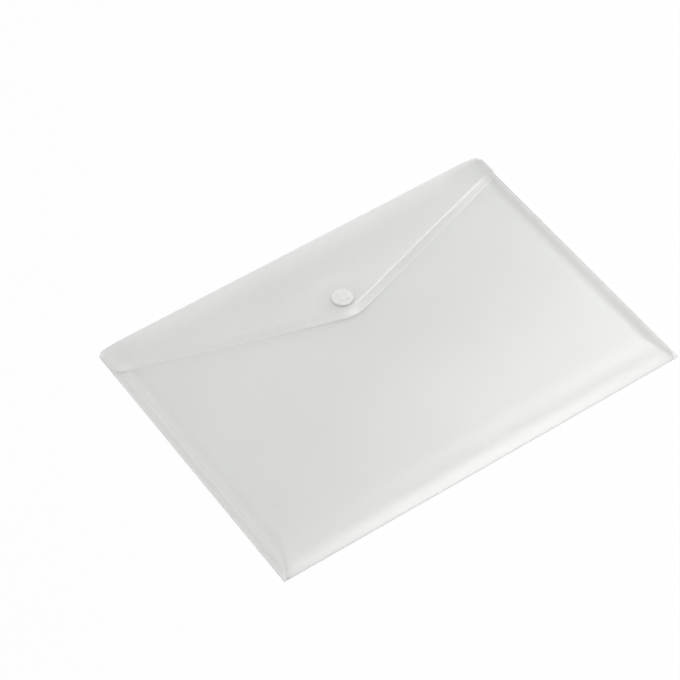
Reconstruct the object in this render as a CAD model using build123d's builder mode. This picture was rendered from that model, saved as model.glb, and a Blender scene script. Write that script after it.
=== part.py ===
from build123d import *
import math
import os

# A press-stud document wallet of folded film, closed and lying on its back. Millimetres.
# X runs along the folds, +Y from the bottom fold to the top fold, +Z up from the table.
# The origin is on the table, under the middle of the wallet.

# Sheet and pocket
width = 335.0  # side edge to side edge
height = 235.0  # bottom fold to top fold
film = 0.3  # thickness of the sheet
pocket_depth = 4.9  # clear height between the back and the front sheet
weld_width = 2.5  # flat welded strip along each side
roll_radius = 30.0  # outside of the front sheet where it rolls up from a weld or a fold
back_corner_radius = 2.0  # top corners of the back sheet

# Mouth of the pocket
tab_width = 24.0  # full-height tab at each end of the mouth, from the side edge
tab_gap = 1.5  # tab to top fold
mouth_recess = 14.5  # mouth edge to top fold
mouth_corner_radius = 8.0  # where the slope between tab and mouth edge begins and ends

# Creases and flap
crease_gap = 0.1  # sheet edge to the rounded edge of the spine
spine_inset = 2.0  # end of the spine to the side edge
flap_gap = 0.75  # front sheet to the flap at its crease
flap_side = 25.0  # crease to the start of the slanted edge, at the side
flap_depth = 79.5  # crease to the point where the slanted edges would meet
flap_corner_radius = 3.0  # beside the crease
shoulder_radius = 14.0  # side edge to slanted edge
tip_radius = 28.0
margin_width = 7.0  # strip along the slanted edges that turns down
margin_fall = 1.6  # how far its cut edge drops
flare_width = 10.0  # the strip before it is trimmed
flare_reach = 40.0  # sheet past the side edges before it is trimmed

# Press stud
stud_to_point = 18.0  # stud axis to the point where the flap's slanted edges would meet
flange_radius = 7.5  # discs of the ball and the socket
moulded_edge = 0.3  # bevel of the moulded rims
ball_edge_radius = 0.3  # rounding of the ball at its widest
post_radius = 1.5
post_clearance = 0.03  # post in its moulding
hole_clearance = 0.15  # post in the sheet
ball_flange = 0.8  # disc under the ball
ball_radius = 3.5
ball_neck_radius = 3.1
ball_neck_height = 0.7
ball_widest_height = 1.25
ball_height = 1.9
ball_top_radius = 2.6
ball_bore_depth = 1.2  # blind hole for the backing's post
post_end_gap = 0.1  # post to the end of that hole
backing_radius = 6.5
backing_thickness = 0.6
seat_gap = 0.4  # socket to the ball's disc on the stud's axis
socket_flange = 0.7
socket_radius = 5.5
socket_height = 2.3
socket_web = 0.5  # between the sheet and the socket's hollow
lip_radius = 3.42  # clears the rounded ball by a hair
lip_height = 0.45
hollow_radius = 3.75
lip_slots = 4
lip_slot_width = 0.6
cap_radius = 8.2
cap_thickness = 1.8
cap_rim_radius = 1.0
cap_dish_radius = 4.6
cap_dish_depth = 0.25

# Levels and places that follow
front_bottom = film + pocket_depth
front_top = front_bottom + film
roll_z = front_top - roll_radius
roll_run = math.sqrt(roll_radius**2 - (roll_radius - pocket_depth) ** 2)
weld_x = width / 2 - weld_width
panel_x = weld_x - roll_run
fold_y = film - height / 2
panel_y = fold_y + roll_run
tab_y = height / 2 - tab_gap
mouth_y = height / 2 - mouth_recess
tab_x = width / 2 - tab_width
mouth_x = tab_x - (tab_y - mouth_y)
crease_y = (height - film) / 2
spine_low_z = film / 2
spine_high_z = front_top + flap_gap + film / 2
sheet_start = film / 2 + crease_gap
stud_y = crease_y - flap_depth + stud_to_point

# The flap leans up from its crease until the socket meets the ball at its widest height
ball_z = front_top + ball_flange + ball_widest_height
ball_to_flap = film / 2 + socket_height + seat_gap - ball_widest_height
stud_reach = crease_y - stud_y
ball_rise = ball_z - spine_high_z
flap_tilt = math.atan2(ball_rise, stud_reach) + math.asin(ball_to_flap / math.hypot(stud_reach, ball_rise))
flap_plane = Plane(
    origin=(0, crease_y, spine_high_z),
    x_dir=(1, 0, 0),
    z_dir=(0, math.sin(flap_tilt), math.cos(flap_tilt)),
)
flap_stud_y = flap_plane.to_local_coords(Vector(0, stud_y, ball_z)).Y
flap_stud_at = flap_plane.from_local_coords(Vector(0, flap_stud_y, 0))
flap_stud_plane = Plane(origin=flap_stud_at, x_dir=flap_plane.x_dir, z_dir=flap_plane.z_dir)

os.makedirs("parts", exist_ok=True)

# Back sheet, up to the crease
with BuildPart() as back_panel:
    with BuildSketch() as back_outline:
        with Locations((0, fold_y)):
            Rectangle(width, crease_y - sheet_start - fold_y, align=(Align.CENTER, Align.MIN))
        fillet(back_outline.vertices().group_by(Axis.Y)[-1], back_corner_radius)
    extrude(amount=film)
back_panel.part.label = "back_panel"
export_step(back_panel.part, "parts/back_panel.step")

# Front sheet: its mouth edge is recessed between two tabs, and the stud's post goes through it
with BuildPart() as front_panel:
    with BuildSketch(Plane.XY.offset(front_bottom)) as front_outline:
        right_half = [(panel_x, panel_y), (panel_x, tab_y), (tab_x, tab_y), (mouth_x, mouth_y)]
        left_half = [(-x, y) for x, y in reversed(right_half)]
        with BuildLine():
            Polyline(*right_half, *left_half, close=True)
        make_face()
        slope_ends = front_outline.vertices().filter_by(lambda end: abs(end.X) < (panel_x + tab_x) / 2)
        fillet(slope_ends, mouth_corner_radius)
        with Locations((0, stud_y)):
            Circle(post_radius + hole_clearance, mode=Mode.SUBTRACT)
    extrude(amount=film)
front_panel.part.label = "front_panel"
export_step(front_panel.part, "parts/front_panel.step")

# Side weld: a flat strip on the back sheet, then the front sheet rolling up to its level
with BuildPart() as right_side_weld:
    with BuildSketch(Plane.XZ.offset(-tab_y)):
        with Locations((panel_x, roll_z)):
            Circle(roll_radius)
            Circle(roll_radius - film, mode=Mode.SUBTRACT)
        with Locations((panel_x, film)):
            Rectangle(roll_radius, front_top - film, align=(Align.MIN, Align.MIN), mode=Mode.INTERSECT)
        with Locations((weld_x, film)):
            Rectangle(weld_width, film, align=(Align.MIN, Align.MIN))
    extrude(amount=tab_y - fold_y)
    with BuildSketch():
        with BuildLine():
            Polyline((weld_x, fold_y), (panel_x, panel_y), (panel_x, fold_y), close=True)
        make_face()
    extrude(amount=front_top, mode=Mode.SUBTRACT)
right_side_weld.part.label = "right_side_weld"
export_step(right_side_weld.part, "parts/right_side_weld.step")

with BuildPart() as left_side_weld:
    mirror(right_side_weld.part, about=Plane.YZ)
left_side_weld.part.label = "left_side_weld"
export_step(left_side_weld.part, "parts/left_side_weld.step")

# Bottom fold: a rounded nose, then the same roll, mitred against the side welds
with BuildPart() as bottom_fold:
    with BuildSketch(Plane.YZ.offset(-width / 2)):
        with Locations((panel_y, roll_z)):
            Circle(roll_radius)
            Circle(roll_radius - film, mode=Mode.SUBTRACT)
        with Locations((panel_y, film)):
            Rectangle(roll_radius, front_top - film, align=(Align.MAX, Align.MIN), mode=Mode.INTERSECT)
        with BuildLine():
            CenterArc((fold_y, film), film, 90, 180)
            Line((fold_y, 0), (fold_y, 2 * film))
        make_face()
    extrude(amount=width)
    with BuildSketch():
        with BuildLine():
            Polyline(
                (weld_x, fold_y),
                (panel_x, panel_y),
                (width / 2, panel_y),
                (width / 2, fold_y),
                close=True,
            )
        make_face()
        mirror(about=Plane.YZ)
    extrude(amount=front_top, mode=Mode.SUBTRACT)
bottom_fold.part.label = "bottom_fold"
export_step(bottom_fold.part, "parts/bottom_fold.step")

# Spine: the strip between the two creases, rounded about each crease axis
with BuildPart() as spine:
    with BuildSketch(Plane.YZ.offset(spine_inset - width / 2)):
        with Locations((crease_y, (spine_low_z + spine_high_z) / 2)):
            SlotCenterToCenter(spine_high_z - spine_low_z, film, rotation=90)
    extrude(amount=width - 2 * spine_inset)
spine.part.label = "spine"
export_step(spine.part, "parts/spine.step")

# Flap, in the plane that leans up from its crease: flat as far as a bend line, then a margin that turns down.
# It is trimmed from a wider roof, the space between two lofts that are one film apart.
flap_slope = (flap_depth - flap_side) / (width / 2)
slant = math.hypot(1, flap_slope)
flare_drop = margin_fall * flare_width / margin_width
bend_and_flare = [(margin_width, 0), (margin_width - flare_width, flare_drop)]
with BuildPart() as flap:
    for skin, mode in ((0, Mode.ADD), (film, Mode.SUBTRACT)):
        reach = width / 2 + flare_reach + skin
        for inset, drop in bend_and_flare:
            with BuildSketch(flap_plane.offset(film / 2 - skin - drop)) as ring:
                apex = inset * slant - flap_depth
                right_side = [(reach, reach), (reach, apex + flap_slope * reach)]
                left_side = [(-x, y) for x, y in reversed(right_side)]
                with BuildLine():
                    Polyline(*right_side, (0, apex), *left_side, close=True)
                make_face()
                fillet(ring.vertices().group_by(Axis.Y)[0], tip_radius - inset)
        loft(ruled=True, mode=mode)
    with BuildSketch(flap_plane.offset(-flare_width)) as flap_outline:
        right_edge = [(width / 2, -sheet_start), (width / 2, -flap_side)]
        left_edge = [(-x, y) for x, y in reversed(right_edge)]
        with BuildLine():
            Polyline(*right_edge, (0, -flap_depth), *left_edge, close=True)
        make_face()
        fillet(flap_outline.vertices().group_by(Axis.Y)[0], tip_radius)
        fillet(flap_outline.vertices().group_by(Axis.Y)[1], shoulder_radius)
        fillet(flap_outline.vertices().group_by(Axis.Y)[-1], flap_corner_radius)
        with Locations((0, flap_stud_y)):
            Circle(post_radius + hole_clearance, mode=Mode.SUBTRACT)
    extrude(amount=2 * flare_width, mode=Mode.INTERSECT)
flap.part.label = "flap"
export_step(flap.part, "parts/flap.step")

# Ball half of the stud, seated on the front sheet, with a blind hole for the backing's post
ball_seat = Plane(origin=(0, stud_y, front_top))
with BuildPart() as panel_stud_ball:
    with BuildSketch(ball_seat.rotated((90, 0, 0))) as ball_profile:
        with BuildLine():
            Polyline(
                (post_radius + post_clearance, 0),
                (flange_radius, 0),
                (flange_radius, ball_flange),
                (ball_neck_radius, ball_flange),
                (ball_neck_radius, ball_flange + ball_neck_height),
                (ball_radius, ball_flange + ball_widest_height),
                (ball_top_radius, ball_flange + ball_height),
                (0, ball_flange + ball_height),
                (0, ball_bore_depth),
                (post_radius + post_clearance, ball_bore_depth),
                close=True,
            )
        make_face()
        rim = ball_profile.vertices().sort_by_distance((flange_radius, ball_flange))[0]
        chamfer(rim, moulded_edge)
        widest = ball_profile.vertices().sort_by_distance((ball_radius, ball_flange + ball_widest_height))[0]
        fillet(widest, ball_edge_radius)
    revolve(axis=Axis(ball_seat.origin, ball_seat.z_dir))
panel_stud_ball.part.label = "panel_stud_ball"
export_step(panel_stud_ball.part, "parts/panel_stud_ball.step")

# Backing disc inside the pocket, with the post that goes up through the sheet into the ball
backing_seat = Plane(origin=(0, stud_y, front_bottom))
with BuildPart() as panel_stud_backing:
    with BuildSketch(backing_seat.rotated((90, 0, 0))) as backing_profile:
        with BuildLine():
            Polyline(
                (0, -backing_thickness),
                (backing_radius, -backing_thickness),
                (backing_radius, 0),
                (post_radius, 0),
                (post_radius, film + ball_bore_depth - post_end_gap),
                (0, film + ball_bore_depth - post_end_gap),
                close=True,
            )
        make_face()
        rim = backing_profile.vertices().sort_by_distance((backing_radius, -backing_thickness))[0]
        chamfer(rim, moulded_edge)
    revolve(axis=Axis(backing_seat.origin, backing_seat.z_dir))
panel_stud_backing.part.label = "panel_stud_backing"
export_step(panel_stud_backing.part, "parts/panel_stud_backing.step")

# Socket half, under the flap: its hollow takes the ball, and slots let the lip spring open
socket_seat = flap_stud_plane.offset(-film / 2)
with BuildPart() as flap_stud_socket:
    with BuildSketch(socket_seat.rotated((90, 0, 0))) as socket_profile:
        lip_top = lip_height - socket_height
        with BuildLine():
            Polyline(
                (post_radius + post_clearance, 0),
                (flange_radius, 0),
                (flange_radius, -socket_flange),
                (socket_radius, -socket_flange),
                (socket_radius, -socket_height),
                (lip_radius, -socket_height),
                (lip_radius, lip_top),
                (hollow_radius, lip_top + hollow_radius - lip_radius),
                (hollow_radius, -socket_web),
                (post_radius + post_clearance, -socket_web),
                close=True,
            )
        make_face()
        flange_rim = socket_profile.vertices().sort_by_distance((flange_radius, -socket_flange))[0]
        ring_rim = socket_profile.vertices().sort_by_distance((socket_radius, -socket_height))[0]
        chamfer([flange_rim, ring_rim], moulded_edge)
    revolve(axis=Axis(socket_seat.origin, socket_seat.z_dir))
    with BuildSketch(socket_seat.offset(-socket_height)):
        with PolarLocations(0, lip_slots, start_angle=180 / lip_slots):
            Rectangle(flange_radius, lip_slot_width, align=(Align.MIN, Align.CENTER))
    extrude(amount=socket_height - socket_flange, mode=Mode.SUBTRACT)
flap_stud_socket.part.label = "flap_stud_socket"
export_step(flap_stud_socket.part, "parts/flap_stud_socket.step")

# Cap on the outside of the flap, with the post that goes down through the sheet and the socket's web
cap_seat = flap_stud_plane.offset(film / 2)
with BuildPart() as flap_stud_cap:
    with BuildSketch(cap_seat.rotated((90, 0, 0))) as cap_profile:
        with BuildLine():
            Polyline(
                (0, -film - socket_web),
                (post_radius, -film - socket_web),
                (post_radius, 0),
                (cap_radius, 0),
                (cap_radius, cap_thickness),
                (cap_dish_radius, cap_thickness),
                (cap_dish_radius - cap_dish_depth, cap_thickness - cap_dish_depth),
                (0, cap_thickness - cap_dish_depth),
                close=True,
            )
        make_face()
        rim = cap_profile.vertices().sort_by_distance((cap_radius, cap_thickness))[0]
        fillet(rim, cap_rim_radius)
    revolve(axis=Axis(cap_seat.origin, cap_seat.z_dir))
flap_stud_cap.part.label = "flap_stud_cap"
export_step(flap_stud_cap.part, "parts/flap_stud_cap.step")
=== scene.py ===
"""Translucent press-stud document wallet: its film, welds and stud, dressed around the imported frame."""

import logging
import math
from dataclasses import dataclass
from enum import Enum

import bpy
import numpy as np
from bpy.types import ID, Material, Mesh, Node, NodeSocket, NodeTree, Object
from mathutils import Matrix, Vector


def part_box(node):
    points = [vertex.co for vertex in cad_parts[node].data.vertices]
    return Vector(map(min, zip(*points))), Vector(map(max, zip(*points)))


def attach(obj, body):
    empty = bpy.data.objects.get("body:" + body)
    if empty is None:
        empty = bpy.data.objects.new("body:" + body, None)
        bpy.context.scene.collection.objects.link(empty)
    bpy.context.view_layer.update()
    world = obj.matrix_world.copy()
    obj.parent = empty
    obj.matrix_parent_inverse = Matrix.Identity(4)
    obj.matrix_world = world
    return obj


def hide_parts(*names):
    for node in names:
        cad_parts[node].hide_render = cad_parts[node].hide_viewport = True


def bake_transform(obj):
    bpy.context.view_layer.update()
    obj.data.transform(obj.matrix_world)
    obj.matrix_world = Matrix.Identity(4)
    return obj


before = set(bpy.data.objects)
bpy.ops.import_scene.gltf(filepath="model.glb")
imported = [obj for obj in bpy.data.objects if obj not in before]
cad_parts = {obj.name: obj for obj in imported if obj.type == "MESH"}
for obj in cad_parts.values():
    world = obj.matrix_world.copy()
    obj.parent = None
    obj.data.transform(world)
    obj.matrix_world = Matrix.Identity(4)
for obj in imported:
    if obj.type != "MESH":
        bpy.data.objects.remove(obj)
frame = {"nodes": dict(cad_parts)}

MM = 0.001
FULL_TURN = 2 * math.pi
QUARTER_TURN = 0.5 * math.pi
PHOTO_PIXELS = 680
SENSOR_MM = 36.0
FILM_SHARP = math.radians(50)
MOULD_SHARP = math.radians(32)
TINY_ANGLE = 1e-6
TINY_LENGTH = 1e-9
TINY_AREA = 1e-12
# Point mask of the film: positive where it is whitened, negative where shade is painted as a grey line along
# the bottom fold
WHITEN_AND_SHADE = "whiten_and_painted_shade"
FLOAT = "NodeSocketFloat"

Colour = tuple[float, float, float]
Point = tuple[float, float, float]
Span = tuple[float, float]
Profile = list[Span]

log = logging.getLogger("wallet")


class Body(str, Enum):
    """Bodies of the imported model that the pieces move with."""

    POCKET = "pocket"
    SPINE = "spine"
    FLAP = "flap"


class Slot(str, Enum):
    """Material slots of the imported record."""

    FILM = "film"
    STUD = "stud"


class TreeKind(str, Enum):
    """Node trees that the script builds."""

    SHADER = "ShaderNodeTree"
    GEOMETRY = "GeometryNodeTree"


class NodeSketch:
    """Short calls for laying nodes into a tree and joining them up."""

    def __init__(self, tree: NodeTree) -> None:
        """Keep the tree that nodes go into."""
        self.tree = tree

    def add(self, kind: str, inputs: dict[str | int, object] | None = None, **values: object) -> Node:
        """Add a node, set its properties and feed its inputs.

        Args:
            kind: Blender's name for the node type.
            inputs: An output socket or a plain value for each input, by name or number.
            **values: Properties of the node.

        Returns:
            The new node.
        """
        node = self.tree.nodes.new(kind)
        for name, value in values.items():
            setattr(node, name, value)
        for key, value in (inputs or {}).items():
            self.feed(node.inputs[key], value)
        return node

    def feed(self, socket: NodeSocket, value: object) -> None:
        """Link an output into a socket, or set the socket's own value.

        Args:
            socket: The input that is fed.
            value: An output socket, or a plain value.
        """
        if isinstance(value, NodeSocket):
            self.tree.links.new(value, socket)
        else:
            socket.default_value = value

    def math(self, operation: str, *values: object, clamp: bool = False) -> NodeSocket:
        """Add a Math node.

        Args:
            operation: Its operation.
            *values: Its inputs, as sockets or numbers.
            clamp: Whether the result stays between 0 and 1.

        Returns:
            The node's result.
        """
        inputs = dict(enumerate(values))
        return self.add("ShaderNodeMath", inputs, operation=operation, use_clamp=clamp).outputs[0]

    def ramp(
        self, value: NodeSocket, low: float, high: float, to_low: float = 0.0, to_high: float = 1.0
    ) -> NodeSocket:
        """Map a value smoothly from one range to another.

        Args:
            value: Socket that is mapped.
            low: Start of the range it has.
            high: End of the range it has.
            to_low: Result at the start.
            to_high: Result at the end.

        Returns:
            The mapped value.
        """
        inputs = dict(enumerate((value, low, high, to_low, to_high)))
        return self.add("ShaderNodeMapRange", inputs, interpolation_type="SMOOTHSTEP").outputs[0]

    def mix(self, factor: object, first: object, second: object, blend: str = "MIX") -> NodeSocket:
        """Mix two colours.

        Args:
            factor: Share of the second colour.
            first: First colour.
            second: Second colour.
            blend: How they mix.

        Returns:
            The mixed colour.
        """
        inputs = {0: factor, 6: first, 7: second}
        return self.add("ShaderNodeMix", inputs, data_type="RGBA", blend_type=blend).outputs[2]

    def noise(self, vector: NodeSocket, scale: object, detail: float, rough: float = 0.5) -> NodeSocket:
        """Add a noise texture.

        Args:
            vector: Coordinates it reads.
            scale: Repeats for each unit of the coordinates.
            detail: Octaves.
            rough: Strength of the finer octaves.

        Returns:
            The noise value, from 0 to 1.
        """
        inputs = {"Vector": vector, "Scale": scale, "Detail": detail, "Roughness": rough}
        return self.add("ShaderNodeTexNoise", inputs).outputs[0]


class GroupSketch(NodeSketch):
    """A node group in progress, with named inputs and outputs."""

    def __init__(self, name: str, kind: TreeKind, inputs: dict[str, object], outputs: dict[str, str]) -> None:
        """Make the group.

        Args:
            name: Name of the group.
            kind: Shader or geometry.
            inputs: Socket type or default number for each named input.
            outputs: Socket type for each named output.
        """
        super().__init__(bpy.data.node_groups.new(name, kind.value))
        sockets = self.tree.interface
        for label, item in inputs.items():
            if isinstance(item, str):
                sockets.new_socket(label, in_out="INPUT", socket_type=item)
            else:
                sockets.new_socket(label, in_out="INPUT", socket_type=FLOAT).default_value = item
        for label, item in outputs.items():
            sockets.new_socket(label, in_out="OUTPUT", socket_type=item)
        self.given = self.add("NodeGroupInput").outputs
        self.out = self.add("NodeGroupOutput").inputs


class EffectSketch(GroupSketch):
    """A shader group in progress: numbers in and numbers out, over Object coordinates."""

    def __init__(self, name: str, inputs: dict[str, float], outputs: tuple[str, ...]) -> None:
        """Make the group with its named inputs and outputs."""
        super().__init__(name, TreeKind.SHADER, inputs, dict.fromkeys(outputs, FLOAT))
        self.place = self.add("ShaderNodeTexCoord").outputs["Object"]

    def finish(self, *results: NodeSocket) -> NodeTree:
        """End the group.

        Args:
            *results: What each output gives, in order.

        Returns:
            The finished group.
        """
        for socket, value in zip(self.out, results):
            self.feed(socket, value)
        return self.tree


class ShapeSketch(GroupSketch):
    """A geometry tree in progress: a shape, numbers and a material in, and a shape out."""

    def __init__(self, name: str, inputs: dict[str, float]) -> None:
        """Make the tree.

        Args:
            name: Name of the tree.
            inputs: Default for each named number.
        """
        shape = {"Geometry": "NodeSocketGeometry"}
        inputs = {**shape, **inputs, "Material": "NodeSocketMaterial"}
        super().__init__(name, TreeKind.GEOMETRY, inputs, shape)

    def finish(self, geometry: NodeSocket) -> NodeTree:
        """End the tree: real points, then the material.

        Args:
            geometry: What the tree made.

        Returns:
            The finished tree.
        """
        real = self.add("GeometryNodeRealizeInstances", {0: geometry}).outputs[0]
        dress = {"Geometry": real, "Material": self.given["Material"]}
        self.feed(self.out[0], self.add("GeometryNodeSetMaterial", dress).outputs[0])
        return self.tree


def smooth_step(value: np.ndarray, low: float, high: float) -> np.ndarray:
    """Rise smoothly from 0 at low to 1 at high."""
    share = np.clip((value - low) / (high - low), 0.0, 1.0)
    return share * share * (3.0 - 2.0 * share)


def bell(value: np.ndarray, middle: float, width: float) -> np.ndarray:
    """Peak at 1 in the middle and fall away over the width."""
    return np.exp(-(((value - middle) / width) ** 2))


def fine_ends(low: float, high: float, step: float, edge: tuple[float, ...]) -> np.ndarray:
    """Space stations evenly, with finer ones beside both ends.

    Args:
        low: First station.
        high: Last station.
        step: Spacing in the middle.
        edge: Distances from an end of the finer stations.

    Returns:
        The stations in order.
    """
    inner_low, inner_high = low + edge[-1], high - edge[-1]
    count = max(2, round((inner_high - inner_low) / step) + 1)
    middle = np.linspace(inner_low, inner_high, count)
    ends = np.array(edge[:-1])
    return np.concatenate([low + ends, middle, (high - ends)[::-1]])


def link_object(name: str, mesh: Mesh) -> Object:
    """Put a mesh into the scene as an object at the origin.

    Args:
        name: Name of the object.
        mesh: Its mesh.

    Returns:
        The object.
    """
    piece = bpy.data.objects.new(name, mesh)
    bpy.context.scene.collection.objects.link(piece)
    return piece


def set_mask(mesh: Mesh, name: str, values: np.ndarray) -> None:
    """Store a number for each point of a mesh."""
    mask = mesh.attributes.new(name, "FLOAT", "POINT")
    mask.data.foreach_set("value", np.ascontiguousarray(values, np.float32).ravel())


def smoothed(mesh: Mesh, sharp: float) -> Mesh:
    """Shade a mesh smooth, apart from edges sharper than an angle.

    Args:
        mesh: The mesh.
        sharp: The angle in radians.

    Returns:
        The same mesh.
    """
    mesh.shade_smooth()
    mesh.set_sharp_from_angle(angle=sharp)
    mesh.update()
    return mesh


def grid_faces(rows: int, columns: int) -> np.ndarray:
    """Index the quads of a grid of points.

    Args:
        rows: Rows of points.
        columns: Points in a row.

    Returns:
        Four point numbers for each quad.
    """
    index = np.arange(rows * columns).reshape(rows, columns)
    corners = (index[:-1, :-1], index[:-1, 1:], index[1:, 1:], index[1:, :-1])
    return np.stack([c.ravel() for c in corners], axis=1)


def flat_mesh(name: str, points: np.ndarray, masks: dict[str, np.ndarray]) -> Mesh:
    """Make an open sheet from a grid of points.

    Args:
        name: Name of the mesh.
        points: Grid of points in metres.
        masks: Numbers for each point, by name.

    Returns:
        The mesh.
    """
    rows, columns = points.shape[:2]
    mesh = bpy.data.meshes.new(name)
    mesh.from_pydata(points.reshape(-1, 3).tolist(), [], grid_faces(rows, columns).tolist())
    for label, values in masks.items():
        set_mask(mesh, label, values)
    return mesh


def film_piece(
    name: str, points: np.ndarray, whiten_and_painted_shade: np.ndarray, thickness: float | np.ndarray, finish: Material
) -> Object:
    """Give a grid of points the thickness of the film, as one closed shell.

    Args:
        name: Name of the piece.
        points: Middle of the film, as a grid whose right-hand normal points out.
        whiten_and_painted_shade: The film's mask at each point.
        thickness: Thickness of the film in metres, everywhere or at each point.
        finish: The film's material.

    Returns:
        The piece.
    """
    rows, columns = points.shape[:2]
    half = np.broadcast_to(thickness, (rows, columns))[..., None] / 2
    across = np.gradient(points, axis=1)
    along = np.gradient(points, axis=0)
    normal = np.cross(across, along)
    normal /= np.maximum(np.linalg.norm(normal, axis=2, keepdims=True), TINY_AREA)
    upper = (points + normal * half).reshape(-1, 3)
    lower = (points - normal * half).reshape(-1, 3)
    top = grid_faces(rows, columns)
    shift = rows * columns
    index = np.arange(shift).reshape(rows, columns)
    loop = np.concatenate([index[0, :-1], index[:-1, -1], index[-1, :0:-1], index[:0:-1, 0]])
    nxt = np.roll(loop, -1)
    rim = np.stack([nxt, loop, loop + shift, nxt + shift], axis=1)
    faces = np.concatenate([top, top[:, ::-1] + shift, rim])
    mesh = bpy.data.meshes.new(name)
    mesh.from_pydata(np.concatenate([upper, lower]).tolist(), [], faces.tolist())
    set_mask(mesh, WHITEN_AND_SHADE, np.concatenate([whiten_and_painted_shade.ravel(), whiten_and_painted_shade.ravel()]))
    mesh.materials.append(finish)
    return link_object(name, smoothed(mesh, FILM_SHARP))


def lathe_mesh(name: str, profile: Profile, steps: int, start: float = 0.0, end: float = FULL_TURN) -> Mesh:
    """Turn a closed profile about the Z axis, all the way round or as a capped sector.

    Args:
        name: Name of the mesh.
        profile: Radius and height of each corner in millimetres, anticlockwise, the axis to the left.
        steps: Steps from the first angle to the last.
        start: First angle in radians.
        end: Last angle in radians.

    Returns:
        The closed mesh, in metres.
    """
    closed = abs(end - start - FULL_TURN) < TINY_ANGLE
    angles = np.linspace(start, end, steps + 1)
    if closed:
        angles = angles[:-1]
    points: list[tuple[float, float, float]] = []
    faces: list[list[int]] = []
    rings: list[list[int]] = []
    for radius, height in ((r * MM, h * MM) for r, h in profile):
        first = len(points)
        if radius < TINY_LENGTH:
            points.append((0.0, 0.0, height))
            rings.append([first] * len(angles))
            continue
        points += [(radius * math.cos(a), radius * math.sin(a), height) for a in angles]
        rings.append(list(range(first, first + len(angles))))
    spans = len(angles) if closed else len(angles) - 1
    for here, there in zip(rings, rings[1:] + rings[:1]):
        for i in range(spans):
            j = (i + 1) % len(angles)
            corner = list(dict.fromkeys((here[i], here[j], there[j], there[i])))
            if len(corner) > 2:
                faces.append(corner)
    if not closed:
        faces.append([ring[0] for ring in rings])
        faces.append([ring[-1] for ring in reversed(rings)])
    mesh = bpy.data.meshes.new(name)
    mesh.from_pydata(points, [], faces)
    return smoothed(mesh, MOULD_SHARP)


def rounded(profile: Profile, corners: dict[int, float], steps: int = 5) -> Profile:
    """Round chosen corners of a closed profile.

    Args:
        profile: Its corners in order.
        corners: Radius for each corner number that is rounded.
        steps: Steps along each rounding.

    Returns:
        The finer profile.
    """
    result: Profile = []
    for i, corner in enumerate(profile):
        if i not in corners:
            result.append(corner)
            continue
        here = Vector(corner)
        before = (Vector(profile[i - 1]) - here).normalized()
        after = (Vector(profile[(i + 1) % len(profile)]) - here).normalized()
        reach = corners[i] / math.tan(before.angle(after) / 2)
        first, last = here + before * reach, here + after * reach
        for k in range(steps + 1):
            t = k / steps
            point = first * (1 - t) ** 2 + here * (2 * t * (1 - t)) + last * t**2
            result.append((point.x, point.y))
    return result


def run_tree(name: str, mesh: Mesh, tree: NodeTree, values: dict[str, object]) -> Mesh:
    """Run a geometry tree on a mesh and keep its result as a plain mesh.

    Args:
        name: Name of the object that carries the mesh meanwhile.
        mesh: Mesh that the tree starts from.
        tree: The geometry tree.
        values: Value of each named input.

    Returns:
        The evaluated mesh.
    """
    draft = link_object(name, mesh)
    modifier = draft.modifiers.new(tree.name, "NODES")
    modifier.node_group = tree
    for item in tree.interface.items_tree:
        if item.in_out == "INPUT" and item.name in values:
            modifier[item.identifier] = values[item.name]
    bpy.context.view_layer.update()
    evaluated = draft.evaluated_get(bpy.context.evaluated_depsgraph_get())
    result = bpy.data.meshes.new_from_object(evaluated)
    draft.modifiers.remove(modifier)
    bpy.data.objects.remove(draft)
    return result


def join_meshes(name: str, meshes: list[Mesh]) -> Mesh:
    """Join the points and faces of meshes into one.

    Args:
        name: Name of the result.
        meshes: Meshes in one frame.

    Returns:
        The joined mesh.
    """
    points: list[tuple[float, float, float]] = []
    faces: list[list[int]] = []
    for part in meshes:
        first = len(points)
        points += [tuple(v.co) for v in part.vertices]
        faces += [[first + i for i in face.vertices] for face in part.polygons]
    mesh = bpy.data.meshes.new(name)
    mesh.from_pydata(points, [], faces)
    return smoothed(mesh, MOULD_SHARP)


def hang(name: str, data: ID, place: Point, aim: Point | None) -> Object:
    """Hang a lamp or a camera in the scene.

    Args:
        name: Name of its object.
        data: The lamp or camera.
        place: Where it hangs.
        aim: Point that it faces, or None to face straight down.

    Returns:
        Its object.
    """
    holder = bpy.data.objects.new(name, data)
    holder.location = place
    if aim is not None:
        holder.rotation_euler = (Vector(aim) - Vector(place)).to_track_quat("-Z", "Y").to_euler()
    bpy.context.scene.collection.objects.link(holder)
    return holder


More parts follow.
